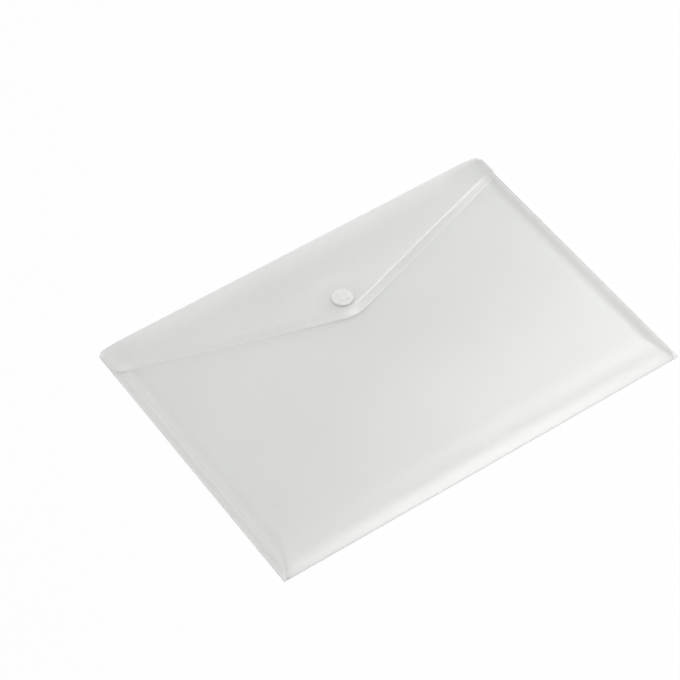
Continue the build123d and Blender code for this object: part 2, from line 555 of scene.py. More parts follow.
class SurfaceEffects:
    """Shader groups that the film and the stud share."""

    FINE_DEPTH = 0.06
    HAIRLINES = ((0.5, 0.035), (-0.9, 0.05))
    HAIRLINE_CUT = (0.68, 0.76)
    HAIRLINES_PER_PATCH = 8.0
    PATCH_CUT = (0.5, 0.68)
    SPECK_CUT = (0.3, 0.7)
    SPECK_GAIN = (-0.25, 0.1)
    STRONG_CUT = (0.25, 0.6)

    def __init__(self) -> None:
        """Build each group once."""
        self.grain = self._grain()
        self.handling = self._handling()
        self.stress = self._stress()

    def _grain(self) -> NodeTree:
        """Build the frosted grain: slow clouding of tone and gloss, and a fine matt texture.

        Returns:
            The group.
        """
        s = EffectSketch(
            "Frosted grain",
            {"Cloud scale": 9.0, "Grain scale": 1400.0, "Tone depth": 0.1, "Gloss": 0.3, "Gloss depth": 0.1},
            ("Tone", "Roughness", "Height"),
        )
        cloud = s.noise(s.place, s.given["Cloud scale"], detail=3.0, rough=0.45)
        grain = s.noise(s.place, s.given["Grain scale"], detail=2.0, rough=0.6)
        swing = s.math("SUBTRACT", cloud, 0.5)
        tone = s.math("MULTIPLY_ADD", swing, s.given["Tone depth"], 1.0)
        gloss = s.math("MULTIPLY_ADD", swing, s.given["Gloss depth"], s.given["Gloss"])
        fine = s.math("MULTIPLY_ADD", s.math("SUBTRACT", grain, 0.5), self.FINE_DEPTH, gloss, clamp=True)
        return s.finish(tone, fine, grain)

    def _handling(self) -> NodeTree:
        """Build handling marks: sparse hairline scuffs that cross the surface at two angles.

        Returns:
            The group.
        """
        s = EffectSketch("Handling marks", {"Scale": 60.0, "Amount": 0.5}, ("Mask",))
        scale = s.math("MULTIPLY", s.given["Scale"], self.HAIRLINES_PER_PATCH)
        marks = []
        for turn, stretch in self.HAIRLINES:
            spread = {"Vector": s.place, "Rotation": (0.0, 0.0, turn), "Scale": (1.0, stretch, 1.0)}
            lines = s.noise(s.add("ShaderNodeMapping", spread).outputs[0], scale, detail=1.0)
            marks.append(s.ramp(lines, *self.HAIRLINE_CUT))
        patch = s.ramp(s.noise(s.place, s.given["Scale"], detail=2.0), *self.PATCH_CUT)
        both = s.math("MAXIMUM", *marks)
        return s.finish(s.math("MULTIPLY", s.math("MULTIPLY", both, patch), s.given["Amount"], clamp=True))

    def _stress(self) -> NodeTree:
        """Build stress whitening: the point mask of cut edges, folds and welds, a little broken up.

        Returns:
            The group.
        """
        s = EffectSketch(
            "Stress whitening", {"Mask": 0.0, "Break-up scale": 240.0, "Strength": 1.0}, ("White",)
        )
        mask = s.given["Mask"]
        grit = s.noise(s.place, s.given["Break-up scale"], detail=3.0)
        speck = s.ramp(grit, *self.SPECK_CUT, *self.SPECK_GAIN)
        broken = s.math("MULTIPLY_ADD", speck, s.ramp(mask, *self.STRONG_CUT), 1.0)
        return s.finish(s.math("MULTIPLY", s.math("MULTIPLY", mask, broken), s.given["Strength"], clamp=True))


class SkinSketch(NodeSketch):
    """A material in progress: its Principled skin, the frosted grain and the handling marks."""

    def __init__(self, name: str, effects: SurfaceEffects) -> None:
        """Start the material and place the shared groups in it.

        Args:
            name: Name of the material.
            effects: The shared shader groups.
        """
        self.material = bpy.data.materials.new(name)
        self.material.use_nodes = True
        super().__init__(self.material.node_tree)
        self.skin = self.tree.nodes["Principled BSDF"]
        self.grain = self.add("ShaderNodeGroup", node_tree=effects.grain)
        self.marks = self.add("ShaderNodeGroup", node_tree=effects.handling)
        self.scuff = self.marks.outputs["Mask"]

    def settle(self, node: Node, values: dict[str, object]) -> None:
        """Feed several inputs of a node that is in place."""
        for label, value in values.items():
            self.feed(node.inputs[label], value)

    def surface(self, tint: NodeSocket, dulled: float, dent: float, relief: Span) -> None:
        """Feed the colour, the roughness and the relief from the grain and the handling marks.

        Args:
            tint: Colour before the grain clouds it.
            dulled: Roughness that a mark adds.
            dent: Height that a mark adds, beside the grain's of 1.
            relief: Strength of the bump, and its depth in metres.
        """
        strength, depth = relief
        height = self.math("MULTIPLY_ADD", self.scuff, dent, self.grain.outputs["Height"])
        bump = self.add("ShaderNodeBump", {"Strength": strength, "Distance": depth, "Height": height})
        rough = self.grain.outputs["Roughness"]
        values = {
            "Base Color": self.mix(1.0, tint, self.grain.outputs["Tone"], "MULTIPLY"),
            "Roughness": self.math("MULTIPLY_ADD", self.scuff, dulled, rough, clamp=True),
            "Normal": bump.outputs[0],
        }
        self.settle(self.skin, values)


@dataclass(frozen=True)
class FilmFinish:
    """Natural polypropylene film: clear and frosted, white at cuts, bends and welds, with shade painted grey
    along the bottom fold.
    """

    name: str = "frosted_film"
    colour: Colour = (0.73, 0.74, 0.72)
    white: Colour = (0.97, 0.975, 0.97)
    # Grey of the painted shade along the bottom fold, where the mask is negative
    painted_fold_shade: Colour = (0.36, 0.365, 0.355)
    opacity: float = 0.46
    white_opacity: float = 0.6
    shadow_pass: float = 0.9
    gloss: float = 0.3
    marks: float = 0.02
    mark_opacity: float = 0.06
    mark_dulling: float = 0.12
    mark_dent: float = -0.6
    relief: Span = (0.04, 0.0002)

    def build(self, effects: SurfaceEffects) -> Material:
        """Make the material.

        Args:
            effects: The shared shader groups.

        Returns:
            The material.
        """
        s = SkinSketch(self.name, effects)
        s.settle(s.grain, {"Gloss": self.gloss})
        s.settle(s.marks, {"Amount": self.marks})
        mask = s.add("ShaderNodeAttribute", attribute_name=WHITEN_AND_SHADE).outputs["Fac"]
        stress = s.add("ShaderNodeGroup", {"Mask": mask}, node_tree=effects.stress)
        white = stress.outputs["White"]
        # Painted shade: the negative part of the mask greys the film along the bottom fold and makes it more
        # opaque
        painted_fold_shade = s.math("MULTIPLY", mask, -1.0, clamp=True)
        tint = s.mix(white, (*self.colour, 1.0), (*self.white, 1.0))
        tint = s.mix(painted_fold_shade, tint, (*self.painted_fold_shade, 1.0))
        s.surface(tint, self.mark_dulling, self.mark_dent, self.relief)
        gain = self.white_opacity - self.opacity
        solid = s.math("MULTIPLY_ADD", white, gain, self.opacity)
        solid = s.math("MULTIPLY_ADD", painted_fold_shade, gain, solid)
        solid = s.math("MULTIPLY_ADD", s.scuff, self.mark_opacity, solid, clamp=True)
        shadow = s.add("ShaderNodeLightPath").outputs["Is Shadow Ray"]
        shaded = s.math("MULTIPLY_ADD", shadow, -self.shadow_pass, 1.0)
        values = {
            "Alpha": s.math("MULTIPLY", solid, shaded),
            "IOR": 1.5,
            "Specular IOR Level": 1.0,
            "Coat Weight": 1.0,
            "Coat Roughness": 0.24,
            "Coat IOR": 1.6,
        }
        s.settle(s.skin, values)
        return s.material


@dataclass(frozen=True)
class StudFinish:
    """Moulded natural polypropylene: milky, smooth, slightly clouded by its flow in the mould."""

    name: str = "moulded_stud"
    colour: Colour = (0.79, 0.795, 0.775)
    rubbed: Colour = (0.93, 0.93, 0.92)
    mark_dulling: float = 0.2
    mark_dent: float = 0.0
    relief: Span = (0.05, 0.0001)

    def build(self, effects: SurfaceEffects) -> Material:
        """Make the material.

        Args:
            effects: The shared shader groups.

        Returns:
            The material.
        """
        s = SkinSketch(self.name, effects)
        s.settle(s.grain, {"Cloud scale": 160.0, "Grain scale": 2600.0, "Gloss": 0.28, "Tone depth": 0.16})
        s.settle(s.marks, {"Scale": 220.0, "Amount": 0.5})
        tint = s.mix(s.scuff, (*self.colour, 1.0), (*self.rubbed, 1.0))
        s.surface(tint, self.mark_dulling, self.mark_dent, self.relief)
        values = {
            "IOR": 1.5,
            "Subsurface Weight": 0.7,
            "Subsurface Scale": 0.002,
            "Subsurface Radius": (1.0, 1.0, 1.0),
            "Coat Weight": 0.3,
            "Coat Roughness": 0.2,
        }
        s.settle(s.skin, values)
        return s.material


@dataclass(frozen=True)
class Sheet:
    """Sizes that every part of the folded sheet shares, in millimetres."""

    width: float = 335.0
    height: float = 235.0
    film: float = 0.3
    pocket_depth: float = 4.9
    fold_radius: float = 2.6
    fold_reach: float = 5.5
    spine_inset: float = 2.0
    fold_line: float = 117.35
    low_crease: float = 0.15
    high_crease: float = 6.4
    split: float = 3.275
    cut_white: float = 0.45
    cut_run: Span = (0.2, 1.2)
    end_run: float = 27.0
    end_drop: float = 3.9
    end_power: int = 4
    edge_steps: tuple[float, ...] = (0.0, 0.4, 0.8, 1.2, 1.6, 2.0, 2.6, 3.4, 4.2)

    @property
    def half(self) -> float:
        """Half the width."""
        return self.width / 2

    @property
    def bottom(self) -> float:
        """Where the sheet turns over at the bottom edge."""
        return self.film - self.height / 2

    @property
    def front_top(self) -> float:
        """Outer face of the front film."""
        return self.pocket_depth + 2 * self.film

    @property
    def edge_band(self) -> float:
        """Width of the finer rows along a cut edge."""
        return self.edge_steps[-1]

    @property
    def edge_rows(self) -> np.ndarray:
        """Distances of the finer rows from a cut edge, in towards it."""
        return np.array(self.edge_steps[:-1][::-1])

    def edge_white(self, distance: np.ndarray) -> np.ndarray:
        """Whiten about the last millimetre beside a cut edge."""
        return self.cut_white * (1.0 - smooth_step(distance, *self.cut_run))

    def sunk(self, x: np.ndarray, z: np.ndarray) -> np.ndarray:
        """Lower the ends of the fold, which the side welds hold down.

        Args:
            x: Places across the wallet.
            z: Heights before the ends sink.

        Returns:
            Heights after.
        """
        near_end = np.clip((np.abs(x) - self.half + self.end_run) / self.end_run, 0.0, 1.0)
        share = self.end_drop / (self.high_crease - self.low_crease) * near_end**self.end_power
        return z - np.maximum(z - self.low_crease, 0.0) * share


@dataclass
class PocketFront:
    """Front of the pocket: one puffed sheet from the bottom fold to the mouth, welded down both sides."""

    sheet: Sheet
    finish: Material
    weld_width: float = 1.0
    fold_run: float = 30.0
    fold_power: float = 2.5
    side_run: float = 17.0
    side_power: float = 2.7
    corner_power: float = 4.0
    weld_line: float = 1.5
    weld_line_width: float = 0.8
    weld_white: float = 0.35
    inner_line: float = 5.4
    inner_line_width: float = 0.5
    inner_line_start: Span = (10.0, 45.0)
    inner_white: float = 0.16
    line_depth: float = 0.09
    mouth_white: float = 0.2
    # Painted shade along the bottom fold: how far it lowers the mask, and how wide the grey line runs
    fold_painted_shade: float = 0.5
    fold_painted_shade_run: float = 0.9
    nose_turn: float = 0.4 * math.pi
    nose_rows: int = 8
    low_share: float = 0.13
    low_rows: int = 28
    face_rows: int = 88
    step: float = 2.2
    side_band: float = 26.0
    side_step: float = 1.1
    edge_steps: tuple[float, ...] = (
        *(0.0, 0.4, 0.8, 1.2, 1.6, 2.0, 2.5, 3.0, 3.5, 4.0),
        *(4.4, 4.8, 5.1, 5.4, 5.7, 6.0, 6.4, 7.0, 8.0),
    )
    tab_width: float = 24.0
    tab_gap: float = 1.5
    tab_tuck: float = 0.9
    tuck_rise: Span = (109.0, 116.0)
    tuck_run: float = 12.0
    mouth_recess: float = 14.5
    mouth_lift: float = 0.08
    slope_blend: float = 3.5
    dome: float = 1.0
    dome_middle: float = -38.0
    dome_half_width: float = 150.0
    dome_half_height: float = 76.0
    ripple: float = 0.5
    ripple_scale: float = 13.0
    ripple_seed: float = 7.0
    bead_radius: float = 0.34
    bead_inset: float = 0.3
    bead_height: float = 0.33
    bead_stop: float = 0.4
    bead_spacing: float = 4.0
    bead_sides: int = 10
    bead_white: float = 0.1

    def mouth(self, x: np.ndarray) -> np.ndarray:
        """Find the mouth edge: recessed between two tabs, with sloping sides.

        Args:
            x: Places across the wallet.

        Returns:
            Height of the edge at each place.
        """
        tab_y = self.sheet.height / 2 - self.tab_gap
        mouth_y = self.sheet.height / 2 - self.mouth_recess
        tab_x = self.sheet.half - self.tab_width
        slope = mouth_y + np.abs(x) - (tab_x - (tab_y - mouth_y))
        blend = self.slope_blend
        above = mouth_y + blend * np.logaddexp(0.0, (slope - mouth_y) / blend)
        return tab_y - blend * np.logaddexp(0.0, (tab_y - above) / blend) + self.mouth_lift

    def stations(self) -> np.ndarray:
        """Space the columns, finer at the welded edges and the rolls.

        Returns:
            Places across the wallet.
        """
        inner = self.sheet.half - self.side_band
        outer = fine_ends(inner, self.sheet.half, self.side_step, self.edge_steps)
        middle = np.linspace(-inner, inner, round(2 * inner / self.step) + 1)
        return np.concatenate([-outer[::-1], middle[1:-1], outer])

    def base_grid(self) -> tuple[np.ndarray, dict[str, np.ndarray]]:
        """Lay out the sheet before it is puffed.

        Returns:
            The grid of points in millimetres, and the masks that the puffing tree and the film finish read.
        """
        sheet = self.sheet
        x = self.stations()
        top = self.mouth(x)
        low_part = np.linspace(0, self.low_share, self.low_rows)
        share = np.concatenate([low_part, np.linspace(self.low_share, 1.0, self.face_rows)[1:]])
        y = sheet.bottom + np.outer(share, top - sheet.edge_band - sheet.bottom)
        y = np.concatenate([y, top - sheet.edge_rows[:, None]], axis=0)
        z = np.full_like(y, 1.5 * sheet.film)
        nose = np.linspace(-QUARTER_TURN, self.nose_turn, self.nose_rows)
        nose_y = np.repeat((sheet.bottom - 0.5 * sheet.film * np.cos(nose))[:, None], len(x), axis=1)
        nose_z = np.repeat((sheet.film + 0.5 * sheet.film * np.sin(nose))[:, None], len(x), axis=1)
        y, z = np.concatenate([nose_y, y]), np.concatenate([nose_z, z])
        xs = np.repeat(x[None, :], len(y), axis=0)
        side_gap = sheet.half - self.weld_width - np.abs(xs)
        fold_gap = np.maximum(y - sheet.bottom, 0.0)
        fold_gap[: len(nose)] = 0.0
        to_side = sheet.half - np.abs(xs)
        to_mouth = np.maximum(top[None, :] - y, 0.0)
        weld = self.weld_white * bell(to_side, self.weld_line, self.weld_line_width)
        pressed = bell(to_side, self.inner_line, self.inner_line_width)
        pressed *= smooth_step(fold_gap, *self.inner_line_start)
        tuck = self.tab_tuck * smooth_step(y, *self.tuck_rise) * smooth_step(side_gap, 0.0, self.tuck_run)
        z -= self.line_depth * pressed + tuck
        cut = self.mouth_white * sheet.edge_white(to_mouth)
        white = np.maximum.reduce([cut, weld, self.inner_white * pressed])
        # Painted shade: lower the mask into a grey line along the bottom fold
        white -= self.fold_painted_shade * bell(fold_gap, 0.0, self.fold_painted_shade_run)
        masks = {"side_gap": side_gap * MM, "fold_gap": fold_gap * MM, WHITEN_AND_SHADE: white}
        return np.stack([xs, y, z], axis=2), masks

    def puff_values(self) -> dict[str, float]:
        """List what the puffing tree takes, with its lengths in metres.

        Returns:
            A number for each named input.
        """
        return {
            "Depth": self.sheet.pocket_depth * MM,
            "Side run": self.side_run * MM,
            "Side power": self.side_power,
            "Fold run": self.fold_run * MM,
            "Fold power": self.fold_power,
            "Dome": self.dome * MM,
            "Dome middle": self.dome_middle * MM,
            "Dome half width": self.dome_half_width * MM,
            "Dome half height": self.dome_half_height * MM,
            "Ripple": self.ripple * MM,
            "Seed": self.ripple_seed,
        }

    def puff_tree(self) -> NodeTree:
        """Build the tree that puffs the sheet: it rolls up from welds and fold, crowns a little, and ripples.

        Returns:
            The geometry tree.
        """
        s = ShapeSketch("Puffed panel", self.puff_values())
        given = s.given
        falls = []
        for mask, label in (("side_gap", "Side"), ("fold_gap", "Fold")):
            read = s.add("GeometryNodeInputNamedAttribute", {"Name": mask}, data_type="FLOAT")
            run = s.math("DIVIDE", read.outputs["Attribute"], given[label + " run"])
            power = s.math("MULTIPLY", given[label + " power"], self.corner_power)
            falls.append(s.math("POWER", s.math("SUBTRACT", 1.0, run, clamp=True), power))
        reach = s.math("POWER", s.math("ADD", *falls, clamp=True), 1.0 / self.corner_power)
        lift = s.math("MULTIPLY", s.math("SUBTRACT", 1.0, reach), given["Depth"])
        place = s.add("GeometryNodeInputPosition").outputs[0]
        axes = s.add("ShaderNodeSeparateXYZ", {0: place}).outputs
        from_middle = s.math("SUBTRACT", axes["Y"], given["Dome middle"])
        shape = []
        for along, half in ((axes["X"], "Dome half width"), (from_middle, "Dome half height")):
            ratio = s.math("POWER", s.math("DIVIDE", along, given[half]), 2.0)
            shape.append(s.math("POWER", s.math("MAXIMUM", s.math("SUBTRACT", 1.0, ratio), 0.0), 2.0))
        crown = s.math("MULTIPLY", *shape)
        swell = s.math("MULTIPLY", crown, given["Dome"])
        inputs = {"Vector": place, "W": given["Seed"], "Scale": self.ripple_scale, "Detail": 1.0}
        wave = s.add("ShaderNodeTexNoise", inputs, noise_dimensions="4D").outputs[0]
        rippled = s.math("MULTIPLY", s.math("SUBTRACT", wave, 0.5), given["Ripple"])
        total = s.math("ADD", lift, s.math("MULTIPLY_ADD", rippled, crown, swell))
        offset = s.add("ShaderNodeCombineXYZ", {"Z": total}).outputs[0]
        move = s.add("GeometryNodeSetPosition", {"Geometry": given["Geometry"], "Offset": offset})
        return s.finish(move.outputs[0])

    def build(self) -> list[Object]:
        """Make the front film and the trimmed weld beads along its sides.

        Returns:
            The pieces, riding on the pocket.
        """
        points, masks = self.base_grid()
        flat = flat_mesh("front_draft", points * MM, masks)
        values = {**self.puff_values(), "Material": self.finish}
        puffed = run_tree("front_draft", flat, self.puff_tree(), values)
        co = np.zeros(len(puffed.vertices) * 3)
        puffed.vertices.foreach_get("co", co)
        thickness = self.sheet.film * MM
        film = film_piece("front_film", co.reshape(points.shape), masks[WHITEN_AND_SHADE], thickness, self.finish)
        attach(film, Body.POCKET.value)
        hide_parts("front_panel", "bottom_fold", "left_side_weld", "right_side_weld")
        return [film] + self.beads()

    def bead_tree(self) -> NodeTree:
        """Build the tree that sweeps a round bead along a path.

        Returns:
            The geometry tree.
        """
        s = ShapeSketch("Edge bead", {"Radius": self.bead_radius * MM, "Spacing": self.bead_spacing * MM})
        path = s.add("GeometryNodeMeshToCurve", {0: s.given["Geometry"]}).outputs[0]
        inputs = {"Curve": path, "Length": s.given["Spacing"]}
        even = s.add("GeometryNodeResampleCurve", inputs, mode="LENGTH").outputs[0]
        inputs = {"Resolution": self.bead_sides, "Radius": s.given["Radius"]}
        ring = s.add("GeometryNodeCurvePrimitiveCircle", inputs, mode="RADIUS").outputs[0]
        inputs = {"Curve": even, "Profile Curve": ring, "Fill Caps": True}
        return s.finish(s.add("GeometryNodeCurveToMesh", inputs).outputs[0])

    def beads(self) -> list[Object]:
        """Run a thin melted bead along each trimmed side edge.

        Returns:
            One bead for each side.
        """
        sheet = self.sheet
        tree = self.bead_tree()
        values = {"Radius": self.bead_radius * MM, "Material": self.finish}
        pieces = []
        ends = (sheet.bottom + self.bead_stop, sheet.height / 2 - self.tab_gap - self.bead_stop)
        for label, side in (("left", -1.0), ("right", 1.0)):
            x = side * (sheet.half - self.bead_inset)
            path = bpy.data.meshes.new("bead_path")
            path.from_pydata([(x * MM, y * MM, self.bead_height * MM) for y in ends], [(0, 1)], [])
            mesh = run_tree("bead_draft", path, tree, values)
            set_mask(mesh, WHITEN_AND_SHADE, np.full(len(mesh.vertices), self.bead_white))
            bead = link_object(f"{label}_edge_bead", mesh)
            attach(bead, Body.POCKET.value)
            pieces.append(bead)
        return pieces


@dataclass
class BackSheet:
    """Back of the pocket: a flat sheet that turns up at the top into the lower half of the fold."""

    sheet: Sheet
    finish: Material
    step: float = 2.6
    hem: tuple[float, ...] = (0.0, 0.5, 1.2)
    flat_rows: int = 84
    turn_rows: int = 9
    taper: float = 1.5

    def build(self) -> Object:
        """Make the back film.

        Returns:
            The piece, flat under the pocket and turning up into the fold.
        """
        sheet = self.sheet
        radius = sheet.fold_radius
        even = np.linspace(self.hem[-1], sheet.fold_line - radius - sheet.bottom, self.flat_rows)
        flat = np.concatenate([self.hem[:-1], even]) + sheet.bottom
        turn = np.linspace(-QUARTER_TURN, 0.0, self.turn_rows)[1:]
        arc_y = sheet.fold_line - radius + radius * np.cos(turn)
        arc_z = sheet.low_crease + radius + radius * np.sin(turn)
        y = np.concatenate([flat, arc_y, [sheet.fold_line]])
        z = np.concatenate([np.full(len(flat), sheet.low_crease), arc_z, [sheet.split]])
        x = fine_ends(-sheet.half, sheet.half, self.step, sheet.edge_steps)
        narrow = sheet.spine_inset * smooth_step(y, sheet.fold_line - radius - self.taper, sheet.fold_line)
        xs = x[None, :] * (1.0 - narrow / sheet.half)[:, None]
        heights = sheet.sunk(x[None, :], np.repeat(z[:, None], len(x), axis=1))
        points = np.stack([xs, np.repeat(y[:, None], len(x), axis=1), heights], axis=2)
        white = np.repeat(sheet.edge_white(sheet.half - np.abs(x))[None, :], len(y), axis=0)
        film = film_piece("back_film", points[:, ::-1] * MM, white[:, ::-1], sheet.film * MM, self.finish)
        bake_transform(film)
        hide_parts("back_panel")
        return film


@dataclass
class Flap:
    """Flap: the upper half of the fold, then a V-shaped film that arches over to the stud."""

    sheet: Sheet
    finish: Material
    side: float = 25.0
    depth: float = 79.5
    shoulder_radius: float = 14.0
    tip_radius: float = 28.0
    tip_blend: float = 20.0
    stud_reach: float = 61.5
    stud_clear: Span = (9.0, 26.0)
    bloom: float = 0.36
    arch: float = 1.2
    arch_spread: float = 110.0
    arch_rest: float = 0.35
    lean_ease: float = 6.0
    lean_spread: float = 82.0
    lean_rest: float = 0.6
    margin: float = 7.0
    margin_fall: float = 2.9
    margin_start: Span = (5.0, 14.0)
    knee: float = 0.4
    lie_flat: float = 1.2
    edge_gap: float = 0.08
    edge_share: float = 0.25
    edge_square: float = 0.95
    edge_thin: float = 0.25
    edge_thin_run: float = 1.0
    taper: float = 4.5
    roll_reach: float = 10.5
    roll_rows: int = 15
    rows: int = 60
    step: float = 2.0
    side_steps: tuple[float, ...] = (0.0, 0.12, 0.35, 0.75, 1.3, 2.2, 3.6, 5.6, 8.0)

    @property
    def slope(self) -> float:
        """Fall of the slanted edges for each unit across."""
        return (self.depth - self.side) / self.sheet.half

    @property
    def slant(self) -> float:
        """Length of a slanted edge for each unit across."""
        return math.hypot(1.0, self.slope)

    def lean(self) -> float:
        """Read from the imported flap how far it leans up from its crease.

        Returns:
            The angle in radians.
        """
        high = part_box("flap")[1].z / MM - self.sheet.high_crease - self.sheet.film / 2
        rounding = (self.tip_radius - self.margin) * (self.slant - 1.0)
        return math.asin(high / (self.depth - self.margin * self.slant - rounding))

    def edge(self, x: np.ndarray) -> np.ndarray:
        """Find the cut edge: slanted to a rounded tip, with rounded shoulders.

        Args:
            x: Places across the flap.

        Returns:
            Distance of the edge from the crease at each place.
        """
        far = np.abs(x)
        slope, slant = self.slope, self.slant
        edge = self.depth - slope * far
        turn_x = self.sheet.half - self.shoulder_radius
        turn_v = self.depth - slope * turn_x - self.shoulder_radius * slant
        leave = turn_x + self.shoulder_radius * slope / slant
        across = np.clip(far - turn_x, 0.0, self.shoulder_radius)
        edge = np.where(far > leave, turn_v + np.sqrt(self.shoulder_radius**2 - across**2), edge)
        tip_v = self.depth - self.tip_radius * slant
        tip = tip_v + np.sqrt(np.maximum(self.tip_radius**2 - far**2, 0.0))
        return np.where(far < self.tip_radius * slope / slant, tip, edge)

    def rise(self, x: np.ndarray, v: np.ndarray) -> np.ndarray:
        """Find how far the film stands above its crease.

        Args:
            x: Places across the flap.
            v: Distances from the crease.

        Returns:
            Height at each place.
        """
        run = np.clip(v - self.sheet.fold_reach, 0.0, None)
        stud_run = self.stud_reach - self.sheet.fold_reach
        eased = (run**2 / (run + self.lean_ease)) / (stud_run**2 / (stud_run + self.lean_ease))
        lean = self.lean_rest + (1.0 - self.lean_rest) * bell(x, 0.0, self.lean_spread)
        plane = math.tan(self.lean()) * self.stud_reach * lean * eased
        clear = smooth_step(np.hypot(x, v - self.stud_reach), *self.stud_clear)
        arch = self.arch * np.sin(math.pi * np.clip(run / stud_run, 0.0, 1.0)) * clear
        arch *= self.arch_rest + (1.0 - self.arch_rest) * bell(x, 0.0, self.arch_spread)
        height = plane + arch
        inside = (self.depth - self.slope * np.sqrt(x * x + self.tip_blend) - v) / self.slant
        share = np.clip(1.0 - inside / self.margin, 0.0, 1.0)
        eased_in = share**2 * (1.0 + self.knee) / (share + self.knee)
        bent = 1.0 - (1.0 - eased_in) ** self.lie_flat
        rest = self.sheet.front_top + self.sheet.film / 2 + self.edge_gap - self.sheet.high_crease
        fall = np.clip(height - rest, 0.0, self.margin_fall) * smooth_step(v, *self.margin_start)
        return height - fall * bent

    def build(self) -> Object:
        """Make the flap film.

        Returns:
            The piece, bending from the spine to the flap.
        """
        sheet = self.sheet
        radius, roll = sheet.fold_radius, self.roll_reach
        x = fine_ends(-sheet.half, sheet.half, self.step, self.side_steps)
        low = sheet.high_crease - radius
        rows_y = [np.full_like(x, sheet.fold_line), np.full_like(x, sheet.fold_line)]
        rows_z = [np.full_like(x, sheet.split), np.full_like(x, low)]
        for angle in np.linspace(0.0, QUARTER_TURN, self.roll_rows)[1:]:
            v = np.full_like(x, roll - roll * math.cos(angle))
            rows_y.append(sheet.fold_line - v)
            rows_z.append(low + radius * math.sin(angle) + self.rise(x, v))
        fold_rows = len(rows_y)
        edge = self.edge(x)
        last = np.maximum(edge - sheet.edge_band, roll + self.edge_share * (edge - roll))
        runs = [roll + (last - roll) * t for t in np.linspace(0.0, 1.0, self.rows)[1:]]
        runs += [edge - (edge - last) * f / sheet.edge_band for f in sheet.edge_rows]
        for v in runs:
            rows_y.append(sheet.fold_line - v)
            rows_z.append(sheet.high_crease + self.rise(x, v))
        y, z = np.array(rows_y), sheet.sunk(x[None, :], np.array(rows_z))
        from_fold = np.maximum(sheet.fold_line - y, 0.0)
        narrow = sheet.spine_inset * (1.0 - smooth_step(from_fold, 0.0, self.taper))
        xs = x[None, :] * (1.0 - narrow / sheet.half)
        to_side = np.repeat((sheet.half - np.abs(x))[None, :], len(y), axis=0)
        to_edge = np.maximum(edge[None, :] - from_fold, 0.0) * self.edge_square
        to_edge[:fold_rows] = np.inf
        full = smooth_step(to_edge, 0.0, self.edge_thin_run)
        thick = sheet.film * (self.edge_thin + (1.0 - self.edge_thin) * full)
        points = np.stack([xs, y, z + (sheet.film - thick) / 2], axis=2)
        cut = np.maximum(sheet.edge_white(to_side), sheet.edge_white(to_edge))
        white = np.maximum(cut, self.bloom)[:, ::-1]
        film = film_piece("flap_film", points[:, ::-1] * MM, white, thick[:, ::-1] * MM, self.finish)
        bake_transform(film)
        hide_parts("flap", "spine")
        return film


